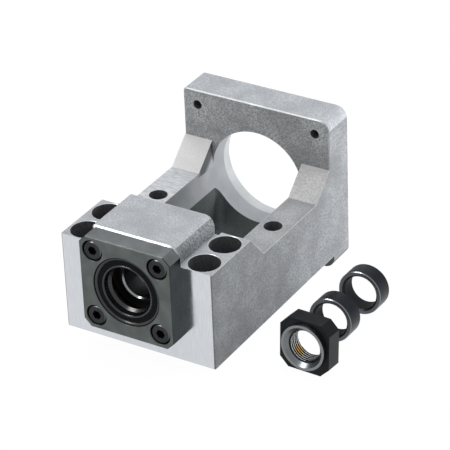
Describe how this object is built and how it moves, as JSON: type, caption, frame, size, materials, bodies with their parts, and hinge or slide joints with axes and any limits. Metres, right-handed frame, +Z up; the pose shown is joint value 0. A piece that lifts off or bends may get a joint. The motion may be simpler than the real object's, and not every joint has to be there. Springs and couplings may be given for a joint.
{
  "type": "screw support motor bracket",
  "caption": "Cast bracket that holds a ball screw's fixed end in a bearing housing with a square cap and carries a motor on a plate, with a lock nut and spacer collars.",
  "frame": {"origin": "centre of the four mounting bolts in the flanges, on the base plane", "axes": "+Z up, the screw axis runs along Y at 25 mm height with the bearing cap at the -Y end and the motor plate at the +Y end, +X to the side of the loose pieces"},
  "size_m": [0.0936, 0.0985, 0.0595],
  "materials": {
    "casting": "cast and bead blasted, bores and front face milled",
    "cap": "black oxide, satin",
    "black_steel": "black oxide, satin",
    "rubber": "moulded nitrile, satin",
    "spring_steel": "drawn wire",
    "bearing_steel": "ground",
    "ball_steel": "polished",
    "cage": "moulded phenolic, matt",
    "brass": "as turned",
    "collar": "blue-black oxide over a turned surface, outer edges bright"
  },
  "bodies": {
    "housing": {"bracket_body": "casting", "bearing_cap": "cap", "cap_screws": "black_steel", "front_seal": "rubber", "rear_seal": "rubber", "front_seal_spring": "spring_steel", "rear_seal_spring": "spring_steel", "front_outer_ring": "bearing_steel", "rear_outer_ring": "bearing_steel", "lock_nut": "black_steel", "lock_nut_set_screw": "black_steel", "lock_nut_pad": "brass", "front_collar": "collar", "rear_collar": "collar"},
    "front_inner": {"front_inner_ring": "bearing_steel"},
    "rear_inner": {"rear_inner_ring": "bearing_steel"},
    "front_ball_set": {"front_balls": "ball_steel", "front_cage": "cage"},
    "rear_ball_set": {"rear_balls": "ball_steel", "rear_cage": "cage"}
  },
  "joints": [
    {"name": "front_inner_spin", "type": "hinge", "parent": "housing", "child": "front_inner", "pos_m": [0, -0.0074, 0.025], "axis": [0, 1, 0], "continuous": true},
    {"name": "rear_inner_spin", "type": "hinge", "parent": "housing", "child": "rear_inner", "pos_m": [0, 0.0006, 0.025], "axis": [0, 1, 0], "continuous": true},
    {"name": "front_cage_spin", "type": "hinge", "parent": "housing", "child": "front_ball_set", "pos_m": [0, -0.0074, 0.025], "axis": [0, 1, 0], "continuous": true},
    {"name": "rear_cage_spin", "type": "hinge", "parent": "housing", "child": "rear_ball_set", "pos_m": [0, 0.0006, 0.025], "axis": [0, 1, 0], "continuous": true}
  ],
  "couplings": [
    {"joint": "front_cage_spin", "follows": "front_inner_spin", "ratio": 0.397},
    {"joint": "rear_cage_spin", "follows": "rear_inner_spin", "ratio": 0.397}
  ]
}
